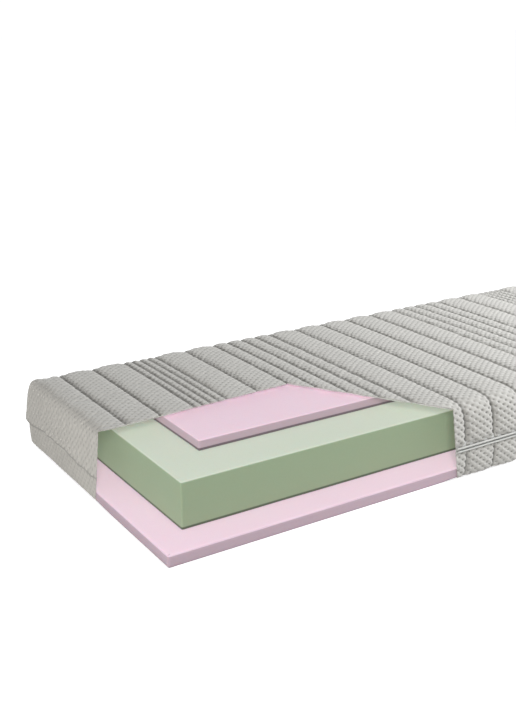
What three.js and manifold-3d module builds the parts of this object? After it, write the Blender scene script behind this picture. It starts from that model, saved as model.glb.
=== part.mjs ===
// Memory foam mattress, 80 x 200 cm, with one corner of its quilted cover cut away to show
// the three foam slabs inside. Millimetres, +Z up. The origin is at the middle of the
// underside; +X runs along the mattress and the cut-away corner is at -X, -Y.

import * as THREE from 'three';
import { mergeVertices } from 'three/addons/utils/BufferGeometryUtils.js';
import Module from 'manifold-3d';

const wasm = await Module();
wasm.setup();

// ---- Driving dimensions ---------------------------------------------------------------

const LENGTH = 2022; // over the cover
const WIDTH = 822;
const HEIGHT = 200;
const CLEARANCE = 0.3; // gap between pieces that touch

const PLAN_RADIUS = 36; // the cover's upright corners
const TOP_ROLL = { across: 30, down: 32 }; // the rounded edge round the lying surface
const BASE_ROLL = { across: 12, down: 12 }; // the rounded edge round the underside
const ARC_STEPS = 4;
const ROLL_STEPS = 4;

// Each cover half is three plies. A ply lies between two skins, and a skin is given by how
// deep it is inside the cover's sides, and its heights at the top and at the underside.
const PLIES = {
  knit: [skin(0, HEIGHT, 0), skin(1.2, HEIGHT - 1.2, 1.2)],
  wadding: [skin(1.5, HEIGHT - 1.5, 1.5), skin(6.5, 181.3, 2.5)],
  lining: [skin(6.8, 181, 2.8), skin(7.4, 180.4, 3.4)],
};

// Foam slabs, from the bottom up. Each step shows `back` mm of the slab under it.
const FOAM_INSET = 11;
const FOAM_EDGE = 3;
const BASE_SLAB = { bottom: 4, top: 31 };
const CORE_SLAB = { bottom: 32, top: 152, backX: 82, backY: 87, endX: 960, endY: 600 };
const TOP_SLAB = { bottom: 153, top: 180, backX: 198, backY: 210, endX: 1090, endY: 560 };
const GLUE_THICKNESS = 0.4;
const GLUE_MARGIN = 20;

// The cut through the cover is made of leaning planes, measured from the cover's own outer
// corner. A plane crosses X or Y at `at` on the floor, and moves by `slope` for each mm along
// the other of the two and by `lean` for each mm of height.
const END_CUT = { at: 368, slope: 2.124, lean: -0.195 }; // down the end, crosses Y
const SIDE_CUT = { at: 840, slope: 0.878, lean: -0.155 }; // down the side, crosses X
const TOP_END_CUT = { at: 783, slope: 0.054, lean: -2.144 }; // over the top, crosses Y
const TOP_SIDE_CUT = { at: 1423.5, slope: -0.656, lean: -2.98 }; // over the top, crosses X
const UNDER_END_CUT = { at: 385, slope: 0, lean: 0 }; // straight up, crosses Y
const UNDER_SIDE_CUT = { at: 850, slope: 0, lean: 0 }; // straight up, crosses X

// The zip runs round the sides, in a groove between two welts.
const ZIP_Z = 84;
const GROOVE = 4.2;
const WELT = { height: 4.5, depth: 4 };
const COIL = { height: 3, front: 5.6, back: 7.4 };
const CHAIN_GAP = 1.8; // between the two rows of teeth
const TAPE = { front: 7.7, back: 8.2, height: 17 };
const HALF_CHAIN = CHAIN_GAP / 2;
const PANEL_EDGE = GROOVE / 2 + WELT.height + CLEARANCE; // from the zip's middle to the plies

// The slider closes the two rows of teeth, on the far long side near the foot end.
const SLIDER = { x: 880, length: 14, height: 8, front: 4.3, plate: 1, web: 0.9, back: 9.5 };
const BRIDGE = { span: 10, post: 1, width: 2, rise: 6.1, bar: 1.2 };
const TAB = { length: 28, width: 6.8, thick: 1.2, window: 7, arm: 2, bar: 1.2 };
const STOP = { x: 912, length: 5, height: 2.6, front: 4.3, back: 5.3 };
const LABEL = { x: 720, width: 40, height: 55, top: 76.8, thick: 0.4 };

// ---- Solids ---------------------------------------------------------------------------

function skin(side, top, bottom) {
  return { side, top, bottom };
}

function solidOf(geometry) {
  const bare = geometry.clone();
  bare.deleteAttribute('normal');
  bare.deleteAttribute('uv');
  const merged = mergeVertices(bare, 1e-4);
  const vertProperties = new Float32Array(merged.attributes.position.array);
  const triVerts = new Uint32Array(merged.index.array);
  return new wasm.Manifold(new wasm.Mesh({ numProp: 3, vertProperties, triVerts }));
}

function geometryOf(solid) {
  const mesh = solid.getMesh();
  const geometry = new THREE.BufferGeometry();
  geometry.setAttribute('position', new THREE.BufferAttribute(mesh.vertProperties, mesh.numProp));
  geometry.setIndex(new THREE.BufferAttribute(mesh.triVerts, 1));
  geometry.computeVertexNormals();
  return geometry;
}

// A box from its lowest to its highest corner.
function block([x0, y0, z0], [x1, y1, z1]) {
  const box = new THREE.BoxGeometry(x1 - x0, y1 - y0, z1 - z0);
  box.translate((x0 + x1) / 2, (y0 + y1) / 2, (z0 + z1) / 2);
  return solidOf(box);
}

// The cover's plan, a rectangle with rounded corners, brought in by inset. nearRadius is the
// corner at -X, -Y, and the others keep their distance to the cover's own corners.
function plan(inset, nearRadius = PLAN_RADIUS - inset) {
  const x = LENGTH / 2 - inset;
  const y = WIDTH / 2 - inset;
  const r = PLAN_RADIUS - inset;
  const shape = new THREE.Shape();
  shape.absarc(-x + nearRadius, -y + nearRadius, nearRadius, -Math.PI, -Math.PI / 2, false);
  shape.absarc(x - r, -y + r, r, -Math.PI / 2, 0, false);
  shape.absarc(x - r, y - r, r, 0, Math.PI / 2, false);
  shape.absarc(-x + r, y - r, r, Math.PI / 2, Math.PI, false);
  return shape;
}

// The plan raised from z 0 to height, with both of its rims rolled in.
function rolled(shape, height, roll, steps) {
  const geometry = new THREE.ExtrudeGeometry(shape, {
    depth: height - 2 * roll.down,
    curveSegments: ARC_STEPS,
    bevelThickness: roll.down,
    bevelSize: roll.across,
    bevelOffset: -roll.across,
    bevelSegments: steps,
  });
  return geometry.translate(0, 0, roll.down);
}

function straight(shape, bottom, top) {
  const geometry = new THREE.ExtrudeGeometry(shape, {
    depth: top - bottom,
    curveSegments: ARC_STEPS,
    bevelEnabled: false,
  });
  return solidOf(geometry.translate(0, 0, bottom));
}

// Everything under a skin's top. Its lower rim is far below the floor.
function underTop({ side, top }) {
  const roll = {
    across: TOP_ROLL.across - side,
    down: top - (HEIGHT - TOP_ROLL.down),
  };
  const height = 2 * HEIGHT;
  return solidOf(rolled(plan(side), height, roll, ROLL_STEPS).translate(0, 0, top - height));
}

// Everything over a skin's underside. Its upper rim is far above the mattress.
function overBottom({ side, bottom }) {
  const roll = {
    across: BASE_ROLL.across - side,
    down: BASE_ROLL.down - bottom,
  };
  return solidOf(rolled(plan(side), 2 * HEIGHT, roll, ROLL_STEPS).translate(0, 0, bottom));
}

function slice(low, high) {
  return block([-LENGTH, -WIDTH, low], [LENGTH, WIDTH, high]);
}

// Everything on the corner's side of a leaning plane. across is the axis that it crosses.
function beyond(across, { at, slope, lean }) {
  const reach = 3 * LENGTH;
  const low = [-reach, -reach, -reach];
  const high = [reach, reach, reach];
  high[across] = at;
  const shear = across === 0 ? [1, slope, lean, 0, 1, 0] : [1, 0, 0, slope, 1, lean];
  const matrix = new THREE.Matrix4().set(
    ...shear.slice(0, 3), -LENGTH / 2,
    ...shear.slice(3), -WIDTH / 2,
    0, 0, 1, 0,
    0, 0, 0, 1,
  );
  const box = new THREE.BoxGeometry(...high.map((value, axis) => value - low[axis]));
  box.translate(...high.map((value, axis) => (value + low[axis]) / 2));
  return solidOf(box.applyMatrix4(matrix));
}

// The corner that is cut away: on the lower half a straight piece of the underside and the
// sides, and on the upper half a piece that slants over the lying surface.
const cornerCut = beyond(1, END_CUT).intersect(beyond(0, SIDE_CUT));
const lowerCut = cornerCut
  .intersect(beyond(1, UNDER_END_CUT))
  .intersect(beyond(0, UNDER_SIDE_CUT));
const upperCut = cornerCut
  .intersect(beyond(1, TOP_END_CUT))
  .intersect(beyond(0, TOP_SIDE_CUT));

// ---- Foam -----------------------------------------------------------------------------

// The two strips that a slab stands back by at the open corner, widened by margin.
function stepBack(slab, margin) {
  const x = -LENGTH / 2 + FOAM_INSET;
  const y = -WIDTH / 2 + FOAM_INSET;
  const past = 2 * FOAM_INSET;
  const low = slab.bottom - past;
  const high = slab.top + past;
  const alongEnd = block(
    [x - past, y - past, low],
    [x + slab.backX + margin, slab.endY - WIDTH / 2 + margin, high],
  );
  const alongSide = block(
    [x - past, y - past, low],
    [slab.endX - LENGTH / 2 + margin, y + slab.backY + margin, high],
  );
  return alongEnd.add(alongSide);
}

function baseFoam() {
  const edge = { across: FOAM_EDGE, down: FOAM_EDGE };
  const height = BASE_SLAB.top - BASE_SLAB.bottom;
  const shape = plan(FOAM_INSET, 2 * FOAM_EDGE);
  return solidOf(rolled(shape, height, edge, 1).translate(0, 0, BASE_SLAB.bottom));
}

function coreFoam() {
  return straight(plan(FOAM_INSET), CORE_SLAB.bottom, CORE_SLAB.top)
    .subtract(stepBack(CORE_SLAB, 0));
}

// The top slab's outer rim is rounded to lie under the cover's rolled edge.
function topFoam() {
  return underTop(skin(FOAM_INSET, TOP_SLAB.top, 0))
    .intersect(slice(TOP_SLAB.bottom, TOP_SLAB.top))
    .subtract(stepBack(TOP_SLAB, 0));
}

// The film of glue under a slab. It stays clear of the slab's edges.
function glueUnder(slab) {
  const bottom = slab.bottom - CLEARANCE - GLUE_THICKNESS;
  return straight(plan(FOAM_INSET + GLUE_MARGIN), bottom, bottom + GLUE_THICKNESS)
    .subtract(stepBack(slab, GLUE_MARGIN));
}

// ---- Cover ----------------------------------------------------------------------------

function upperPly([outer, inner]) {
  return underTop(outer)
    .subtract(underTop(inner))
    .intersect(slice(ZIP_Z + PANEL_EDGE, HEIGHT))
    .subtract(upperCut);
}

function lowerPly([outer, inner]) {
  return overBottom(outer)
    .subtract(overBottom(inner))
    .intersect(slice(0, ZIP_Z - PANEL_EDGE))
    .subtract(lowerCut);
}

// A band round the sides between two depths, open where the cover is cut away.
function band(front, back, low, high) {
  return straight(plan(front), low, high)
    .subtract(straight(plan(back), low - 1, high + 1))
    .subtract(lowerCut);
}

// The same band for one half of the zip: side is 1 above the zip's middle and -1 below it.
function zipBand(side, { front, back }, near, far) {
  const heights = [ZIP_Z + side * near, ZIP_Z + side * far];
  return band(front, back, Math.min(...heights), Math.max(...heights));
}

function welt(side) {
  return zipBand(side, { front: 0, back: WELT.depth }, GROOVE / 2, GROOVE / 2 + WELT.height);
}

function zipTape(side) {
  return zipBand(side, TAPE, HALF_CHAIN, HALF_CHAIN + TAPE.height);
}

function zipCoil(side) {
  return zipBand(side, COIL, HALF_CHAIN, HALF_CHAIN + COIL.height);
}

// ---- Slider, pull tab, stops and label, on the far side -----------------------------------

// A block on the far side, from depth front to depth back inside the cover's face.
function sideBlock(x0, x1, front, back, low, high) {
  return block([x0, WIDTH / 2 - back, low], [x1, WIDTH / 2 - front, high]);
}

function slider() {
  const { x, length, height, front, plate, web, back } = SLIDER;
  const ends = [x - length / 2, x + length / 2];
  const heights = [ZIP_Z - height / 2, ZIP_Z + height / 2];
  const frontPlate = sideBlock(...ends, front, front + plate, ...heights);
  const backPlate = sideBlock(...ends, back - plate, back, ...heights);
  const divider = sideBlock(...ends, front, back, ZIP_Z - web / 2, ZIP_Z + web / 2);
  return frontPlate.add(backPlate).add(divider).add(bridge());
}

// The arch on the slider that the pull tab hangs from.
function bridge() {
  const { span, post, width, rise, bar } = BRIDGE;
  const foot = SLIDER.front + SLIDER.plate / 2;
  const crown = SLIDER.front - rise - bar;
  const heights = [ZIP_Z - width / 2, ZIP_Z + width / 2];
  const x0 = SLIDER.x - span / 2;
  const x1 = SLIDER.x + span / 2;
  return sideBlock(x0, x1, crown, crown + bar, ...heights)
    .add(sideBlock(x0, x0 + post, crown, foot, ...heights))
    .add(sideBlock(x1 - post, x1, crown, foot, ...heights));
}

// The tab's crossbar lies under the arch, and its arms pass on either side of it.
function pullTab() {
  const { length, width, thick, window, arm, bar } = TAB;
  const front = pullDepth() - thick / 2;
  const back = front + thick;
  const low = ZIP_Z - width / 2;
  const high = ZIP_Z + width / 2;
  const plate = sideBlock(SLIDER.x - length, SLIDER.x - window, front, back, low, high);
  const crossbar = sideBlock(SLIDER.x - bar / 2, SLIDER.x + bar / 2, front, back, low, high);
  const armEnds = [SLIDER.x - window, SLIDER.x + bar / 2];
  return plate
    .add(crossbar)
    .add(sideBlock(...armEnds, front, back, low, low + arm))
    .add(sideBlock(...armEnds, front, back, high - arm, high));
}

// How deep the tab's hinge line is. The tab lies outside the welts, close under the arch.
function pullDepth() {
  return SLIDER.front - BRIDGE.rise + CLEARANCE + TAB.thick / 2;
}

function zipStop(side) {
  const { x, length, height, front, back } = STOP;
  const middle = ZIP_Z + side * (HALF_CHAIN + COIL.height / 2);
  return sideBlock(x, x + length, front, back, middle - height / 2, middle + height / 2);
}

function careLabel() {
  const { x, width, height, top, thick } = LABEL;
  return sideBlock(x, x + width, -CLEARANCE - thick, -CLEARANCE, top - height, top);
}

// ---- Materials and assembly -------------------------------------------------------------

function material(color, roughness, metalness = 0) {
  return () => new THREE.MeshStandardMaterial({ color, roughness, metalness });
}

const memoryFoam = material(0xe6cedb, 0.95);
const coreFoamGreen = material(0xc6d2be, 0.95);
const glue = material(0xe9e2c8, 0.5);
const knit = material(0xc9c9c6, 0.9);
const wadding = material(0xf2f2f0, 1);
const lining = material(0xe4e4e2, 0.9);
const weltCloth = material(0xd9d8d4, 0.85);
const tapeCloth = material(0xe4e4e2, 0.85);
const coilNylon = material(0xdcdcda, 0.45);
const zipMetal = material(0x9a9b9d, 0.35, 1);
const labelCloth = material(0xf4f4f2, 0.8);

const mattress = new THREE.Group();

function addPiece(name, solid, makeMaterial) {
  const mesh = new THREE.Mesh(geometryOf(solid), makeMaterial());
  mesh.name = name;
  mattress.add(mesh);
}

addPiece('foam_base_slab', baseFoam(), memoryFoam);
addPiece('foam_core_slab', coreFoam(), coreFoamGreen);
addPiece('foam_top_slab', topFoam(), memoryFoam);
addPiece('glue_film_lower', glueUnder(CORE_SLAB), glue);
addPiece('glue_film_upper', glueUnder(TOP_SLAB), glue);

const plyMaterials = { knit, wadding, lining };
for (const [ply, skins] of Object.entries(PLIES)) {
  addPiece(`cover_top_${ply}`, upperPly(skins), plyMaterials[ply]);
  addPiece(`cover_bottom_${ply}`, lowerPly(skins), plyMaterials[ply]);
}

for (const [half, side] of Object.entries({ upper: 1, lower: -1 })) {
  addPiece(`welt_${half}`, welt(side), weltCloth);
  addPiece(`zip_tape_${half}`, zipTape(side), tapeCloth);
  addPiece(`zip_coil_${half}`, zipCoil(side), coilNylon);
  addPiece(`zip_stop_${half}`, zipStop(side), zipMetal);
}

addPiece('zip_slider', slider(), zipMetal);
addPiece('zip_pull_tab', pullTab(), zipMetal);
addPiece('care_label', careLabel(), labelCloth);

export default mattress;
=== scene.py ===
# A quilted memory foam mattress with one corner of its cover cut away. Metres, +Z up. The
# origin is at the middle of the underside and the cut-away corner is at -X, -Y.

import math

import bmesh
import bpy
import numpy as np
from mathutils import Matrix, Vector, noise


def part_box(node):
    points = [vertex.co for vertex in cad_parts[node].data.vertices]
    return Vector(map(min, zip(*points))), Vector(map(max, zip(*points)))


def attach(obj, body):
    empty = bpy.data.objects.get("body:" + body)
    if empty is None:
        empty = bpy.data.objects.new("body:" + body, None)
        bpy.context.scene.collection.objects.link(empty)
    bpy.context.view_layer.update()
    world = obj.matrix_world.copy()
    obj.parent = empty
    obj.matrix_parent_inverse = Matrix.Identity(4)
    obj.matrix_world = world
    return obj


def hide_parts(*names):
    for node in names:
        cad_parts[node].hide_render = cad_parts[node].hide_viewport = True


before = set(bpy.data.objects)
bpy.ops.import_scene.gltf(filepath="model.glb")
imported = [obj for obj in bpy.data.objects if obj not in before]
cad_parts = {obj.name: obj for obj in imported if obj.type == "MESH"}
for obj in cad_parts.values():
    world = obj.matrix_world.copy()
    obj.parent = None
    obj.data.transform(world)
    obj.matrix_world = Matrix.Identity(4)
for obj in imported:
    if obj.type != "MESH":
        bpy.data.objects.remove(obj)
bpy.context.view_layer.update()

# ---- Sizes ----

MM = 0.001
COVER_LOW, COVER_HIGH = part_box("cover_top_knit")
LENGTH = COVER_HIGH[0] - COVER_LOW[0]
WIDTH = COVER_HIGH[1] - COVER_LOW[1]
ZIP_Z = (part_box("welt_upper")[1][2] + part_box("welt_lower")[0][2]) / 2
CORNER = Vector((COVER_LOW[0], COVER_LOW[1], 0))  # the cut is measured from here

RIM_IN_MM = 36.15
RIM = RIM_IN_MM * MM  # the rounded rim's width in plan
FLAT_X = LENGTH / 2 - RIM  # half the length of the flat top, inside the rim
FLAT_Y = WIDTH / 2 - RIM

# The knit's dimples are a chequered lattice. A half period is the step from a pit to a bump.
HALVES_X = 78
HALVES_Y = 42
CORNER_HALVES = 6  # half periods round each upright corner
RING_HALVES = 4 * (HALVES_X + HALVES_Y + CORNER_HALVES)
HALF_X = FLAT_X / HALVES_X
HALF_Y = FLAT_Y / HALVES_Y
DIMPLE_DEPTH = 3.4 * MM
TOP_RELIEF, END_RELIEF, UNDERSIDE_RELIEF = 0.68, 0.65, 0.4  # of the depth at the long sides
TOP_SHARPNESS, SIDE_SHARPNESS, END_SHARPNESS = 1.8, 2.6, 1.9  # more makes the pits narrower
TOP_SHADE = 0.5  # how strong the pits' painted shade is on top, of what it is at the long sides

# The quilting, from the head end: each letter is a channel's width and its coarse cells.
CHANNELS = {"w": (97 * MM, 10), "m": (48.5 * MM, 5), "n": (24.25 * MM, 3)}
PATTERN = "wwnnnnwwmmmmwwwwwmmmmwwnnnnww"
FIRST_LINE = -sum(CHANNELS[c][0] for c in PATTERN) / 2
LINES = np.cumsum([FIRST_LINE] + [CHANNELS[c][0] for c in PATTERN])
CREST = 4.4 * MM  # how far a wide channel stands out of its stitched lines
END_CHANNEL = 74 * MM  # the part of the end channels that stands out
STITCH_GROOVE = 2.6 * MM
GROOVE_WIDTH = 2.3 * MM
PUCKER = 0.22 * MM
KNIT_EDGE = 1.2 * MM  # how thick the knit looks where it is cut
CORNER_POWER = 7.0  # the upright corners in plan: 2 is round, and more is squarer

FLAT_ROWS = 72
CORNER_COLUMNS = 6

# The cover's section, as (inset, height) in mm, from the flat part's edge outwards.
UPPER_SIDE = [(RIM_IN_MM, 191.5), (29, 185), (21, 172), (16, 157), (12, 136), (9.5, 118), (8, 103),
              (6.8, 96), (7.6, 91.5), (8, 88.5)]
UPPER_END = [(RIM_IN_MM, 196.2), (27, 195.6), (19, 193), (13.5, 188), (10.5, 180), (8, 166), (5.5, 146),
             (2.5, 122), (0, 104), (-1.5, 92), (-2.2, 82)]
LOWER_SIDE = [(RIM_IN_MM, 3.4), (14, 3.4), (8, 4.4), (4.8, 8), (3.8, 18), (3.6, 36), (4, 56), (5.2, 75),
              (5.6, 79.5)]
LOWER_END = [(RIM_IN_MM, 3.4), (20, 3.4), (13, 4.4), (9.4, 8), (8.2, 18), (7, 36), (6, 56), (5.6, 80)]
# The flap's hem along an end, as (distance across, height) in mm, and where its pleats are.
HEM = [(0, 84), (39, 80), (46, 84), (92, 85), (132, 91), (182, 86), (190, 91), (242, 85), (250, 91),
       (292, 84), (350, 76), (411, 80)]
PLEATS = (43, 136, 187, 247)
UPPER_ROWS = 12
LOWER_ROWS = 11
TOP_HEIGHT = 198.5 * MM


def cut_plane(normal, at):
    """The plane where normal . (place - CORNER) is at mm, as a point and a unit normal."""
    normal = Vector(normal)
    point = CORNER + normal * (at * MM / normal.length_squared)
    return point, normal.normalized()


END_CUT = cut_plane((-2.124, 1, 0.195), 368)
SIDE_CUT = cut_plane((1, -0.878, 0.155), 840)
TOP_END_CUT = cut_plane((-0.054, 1, 2.144), 783)
TOP_SIDE_CUT = cut_plane((1, 0.656, 2.98), 1423.5)
UNDER_CUT = (850 * MM, 385 * MM)  # the cut underneath, from the corner along X and Y
UNDER_END_CUT = cut_plane((0, 1, 0), UNDER_CUT[1] / MM)
UNDER_SIDE_CUT = cut_plane((1, 0, 0), UNDER_CUT[0] / MM)
LOWER_CUT = (END_CUT, SIDE_CUT, UNDER_END_CUT, UNDER_SIDE_CUT)
UPPER_CUT = (END_CUT, SIDE_CUT, TOP_END_CUT, TOP_SIDE_CUT)

# The zip. An inset is from the cover's outline to the middle of what runs round it.
WELT_INSETS = (2.6 * MM, 4.5 * MM)  # at the sides and at the ends
TAPE_INSET = 8.5 * MM
TEETH_INSET = 7.4 * MM
ZIP_STEP = 12 * MM
TOOTH_STEP = 1.25 * MM

# The foam inside the snug cover.
FOAM_INSET = 11 * MM
PLIES = 9 * MM  # from the knit's outline to the foam
SQUEEZED = 50 * MM  # how far in from its faces the foam gives way
FLOOR_GAP = 1.3 * MM
SHADOW_LINE_LEVEL = 10 * MM  # a slab's painted shadow line, where it sits on the slab below, lies below this height

# Each half of the cover: its name, its zip's name, its body, its cut, which side of the zip it
# is on, the cloth beyond the plan on each edge, and the foam that its lining lies on.
HALVES = (
    ("top", "upper", "top_cover", UPPER_CUT, 1, 130 * MM, "foam_top"),
    ("bottom", "lower", "bottom_cover", LOWER_CUT, -1, 90 * MM, "foam_base"),
)


# ---- Small helpers ----

def place_in_scene(name, data):
    made = bpy.data.objects.new(name, data)
    bpy.context.scene.collection.objects.link(made)
    return made


def add_object(name, mesh, material, body):
    """A new piece in the scene, riding on a body."""
    piece = place_in_scene(name, mesh)
    mesh.materials.clear()
    mesh.materials.append(material)
    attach(piece, body)
    return piece


def read(items, key, size):
    """A property of every item, one row of that size for each."""
    flat = np.zeros(len(items) * size, np.float32)
    items.foreach_get(key, flat)
    return flat.reshape(-1, size).astype(float)


def positions(mesh):
    return read(mesh.vertices, "co", 3)


def set_positions(mesh, places):
    mesh.vertices.foreach_set("co", places.astype(np.float32).ravel())
    mesh.update()


def normals(mesh):
    return read(mesh.vertex_normals, "vector", 3)


def point_values(mesh, name):
    return read(mesh.attributes[name].data, "value", 1).ravel()


def set_point_values(mesh, name, values):
    attribute = mesh.attributes.get(name) or mesh.attributes.new(name, "FLOAT", "POINT")
    attribute.data.foreach_set("value", values.astype(np.float32))


def shade_smooth(mesh):
    mesh.polygons.foreach_set("use_smooth", np.ones(len(mesh.polygons), bool))


def smooth_mesh(name, verts, faces):
    mesh = bpy.data.meshes.new(name)
    mesh.from_pydata(verts, [], faces)
    shade_smooth(mesh)
    return mesh


def smooth_path(points, steps):
    """A smooth curve through the points, as steps + 1 places at equal distances along it."""
    points = np.array(points, float)
    ghosts = np.vstack([2 * points[0] - points[1], points, 2 * points[-1] - points[-2]])
    fine = []
    for a, b, c, d in zip(ghosts, ghosts[1:], ghosts[2:], ghosts[3:]):
        for t in np.linspace(0, 1, 16, endpoint=False):
            fine.append(0.5 * (2 * b + (c - a) * t + (2 * a - 5 * b + 4 * c - d) * t ** 2
                               + (3 * b - a - 3 * c + d) * t ** 3))
    fine = np.array(fine + [points[-1]])
    along = np.append(0, np.cumsum(np.linalg.norm(np.diff(fine, axis=0), axis=1)))
    wanted = np.linspace(0, along[-1], steps + 1)
    return np.stack([np.interp(wanted, along, fine[:, axis]) for axis in range(2)], axis=1)


# ---- The quilted shell ----

def line_distance(x):
    """The distance along X to the nearest stitched line."""
    return np.min(np.abs(np.asarray(x)[..., None] - LINES), axis=-1)


def relief(x):
    """How far the quilt stands out of its stitched lines at each x."""
    x = np.asarray(x, float)
    channel = np.clip(np.searchsorted(LINES, x, side="right") - 1, 0, len(LINES) - 2)
    left, right = LINES[channel], LINES[channel + 1]
    width = right - left
    share = np.clip((x - left) / width, 0, 1)
    beyond = np.maximum(LINES[0] - x, x - LINES[-1])
    width = np.where(beyond > 0, CHANNELS["w"][0], width)
    share = np.where(beyond > 0, np.clip(beyond / END_CHANNEL, 0, 1), share)
    crown = (1 - np.abs(2 * share - 1) ** 2.6) ** 0.75
    return CREST * (width / CHANNELS["w"][0]) ** 0.4 * crown


def flat_columns():
    """The x of every coarse column over the flat part, with the stitched lines among them."""
    outer = np.linspace(-FLAT_X, LINES[0], 7)
    inner = [
        np.linspace(left, left + CHANNELS[c][0], CHANNELS[c][1] + 1)[1:]
        for left, c in zip(LINES, PATTERN)
    ]
    return np.concatenate([outer, *inner, -outer[::-1][1:]])


def edge_drop(x, y):
    """How far the flat part falls towards its edges."""
    from_side = np.clip(WIDTH / 2 - np.abs(y), RIM, None) / MM
    from_end = np.clip(LENGTH / 2 - np.abs(x), RIM, None) / MM
    side = np.interp(from_side, [RIM_IN_MM, 48, 70, 111, 250], [7, 3.6, 2.2, 1.4, 0])
    end = np.interp(from_end, [RIM_IN_MM, 60, 120, 250], [2.3, 1.2, 0.5, 0])
    return (side + end) * MM


def squareness(outward):
    """How much further out the plan reaches towards its corners than a round one would."""
    return np.sum(np.abs(outward) ** CORNER_POWER, axis=-1) ** (-1 / CORNER_POWER)


class Ring:
    """The columns that run from the flat part's edge outwards, all round it."""

    def __init__(self, columns, rows):
        nx, ny = len(columns) - 1, len(rows) - 1
        base, angle, phase = [], [], []

        def add(i, j, degrees, halves):
            base.append(i * (ny + 1) + j)
            angle.append(math.radians(degrees))
            phase.append(halves)

        halves = -FLAT_X / HALF_X
        sides = [
            [(i, 0, columns[i] / HALF_X) for i in range(nx + 1)],
            [(nx, j, rows[j] / HALF_Y) for j in range(ny + 1)],
            [(i, ny, -columns[i] / HALF_X) for i in range(nx, -1, -1)],
            [(0, j, -rows[j] / HALF_Y) for j in range(ny, -1, -1)],
        ]
        for side, places in enumerate(sides):
            facing = 90 * side - 90
            for i, j, along in places:
                add(i, j, facing, halves + along - places[0][2])
            halves = phase[-1]
            for step in range(1, CORNER_COLUMNS):
                turn = step / CORNER_COLUMNS
                i, j, _ = places[-1]
                add(i, j, facing + 90 * turn, halves + CORNER_HALVES * turn)
            halves += CORNER_HALVES
        self.base = np.array(base)
        self.outward = np.round(np.stack([np.cos(angle), np.sin(angle)], axis=1), 9)
        self.phase = np.array(phase)
        self.end = np.sqrt(np.abs(self.outward[:, 0]))
        self.count = len(base)


def lerp(a, b, share):
    return a + (b - a) * share


def shell(name, side_path, end_path, ring_rows, flat_height, upper, layout=None):
    """A coarse quilted shell: a flat part with a rim all round that goes down from it (upper)
    or up from it. layout(place, share, ring) may move the rim's row at that share of the way."""
    columns = flat_columns()
    rows = np.linspace(-FLAT_Y, FLAT_Y, FLAT_ROWS + 1)
    ring = Ring(columns, rows)
    grid_x, grid_y = (g.ravel() for g in np.meshgrid(columns, rows, indexing="ij"))
    drop = edge_drop(grid_x, grid_y) if upper else 0 * grid_x
    flat = np.stack([grid_x, grid_y, flat_height - drop], axis=1)

    side = smooth_path(side_path, ring_rows) * MM
    end = smooth_path(end_path, ring_rows) * MM
    lengths = [np.append(0, np.cumsum(np.linalg.norm(np.diff(p, axis=0), axis=1))) for p in (side, end)]
    parts = [flat]
    down = [np.zeros(ring.count)]
    for row in range(1, ring_rows + 1):
        share = row / ring_rows
        inset = lerp(side[row, 0], end[row, 0], ring.end)
        height = lerp(side[row, 1], end[row, 1], ring.end)
        start = flat[ring.base, 2] - lerp(side[0, 1], end[0, 1], ring.end)
        height = height + start * (1 - share) ** 2
        reach = ((RIM - inset) * squareness(ring.outward))[:, None] * ring.outward
        place = np.concatenate([flat[ring.base, :2] + reach, height[:, None]], axis=1)
        if layout:
            place = layout(place, share, ring)
        parts.append(place)
        down.append(lerp(lengths[0][row], lengths[1][row], ring.end))
    places = np.concatenate(parts)
    down = np.array(down)

    faces, phases = shell_faces(ring, ring_rows, down, len(columns), len(rows), columns, rows)
    if not upper:
        faces = [face[::-1] for face in faces]
        phases = [phase[::-1] for phase in phases]
    mesh = bpy.data.meshes.new(name)
    mesh.from_pydata(places.tolist(), [], faces)
    layer = mesh.uv_layers.new(name="cloth")
    layer.data.foreach_set("uv", np.array([uv for face in phases for uv in face], np.float32).ravel())

    row_share = np.repeat(np.arange(1, ring_rows + 1) / ring_rows, ring.count)
    ring_end = np.tile(ring.end, ring_rows)
    cloth_x = np.concatenate([grid_x, np.tile(flat[ring.base, 0], ring_rows)])
    rim_share = np.concatenate([np.zeros(len(flat)), row_share])
    end_share = np.concatenate([np.zeros(len(flat)), ring_end])
    run = np.concatenate([grid_y, (np.sign(ring.outward[:, 1]) * (FLAT_Y + down[1:])).ravel()])
    on_line = line_distance(cloth_x) < 0.1 * MM
    distance = np.where(end_share > 0, 60 * MM, line_distance(cloth_x))
    at_corner = ring.end * (1 - ring.end) > 1e-6
    corner = np.concatenate([np.zeros(len(flat)), np.tile(at_corner, ring_rows)])
    fade = np.where(corner > 0, np.clip((rim_share - 0.1) / 0.2, 0, 1), 1)
    fade[np.unique(ring.base[at_corner])] = 0
    for key, values in (("rim", rim_share), ("end", end_share), ("run", run),
                        ("line", distance), ("dimple", fade), ("cloth_x", cloth_x)):
        set_point_values(mesh, key, values)
    crease_lines(mesh, on_line & (end_share == 0), cloth_x)
    shade_smooth(mesh)
    return mesh


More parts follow.
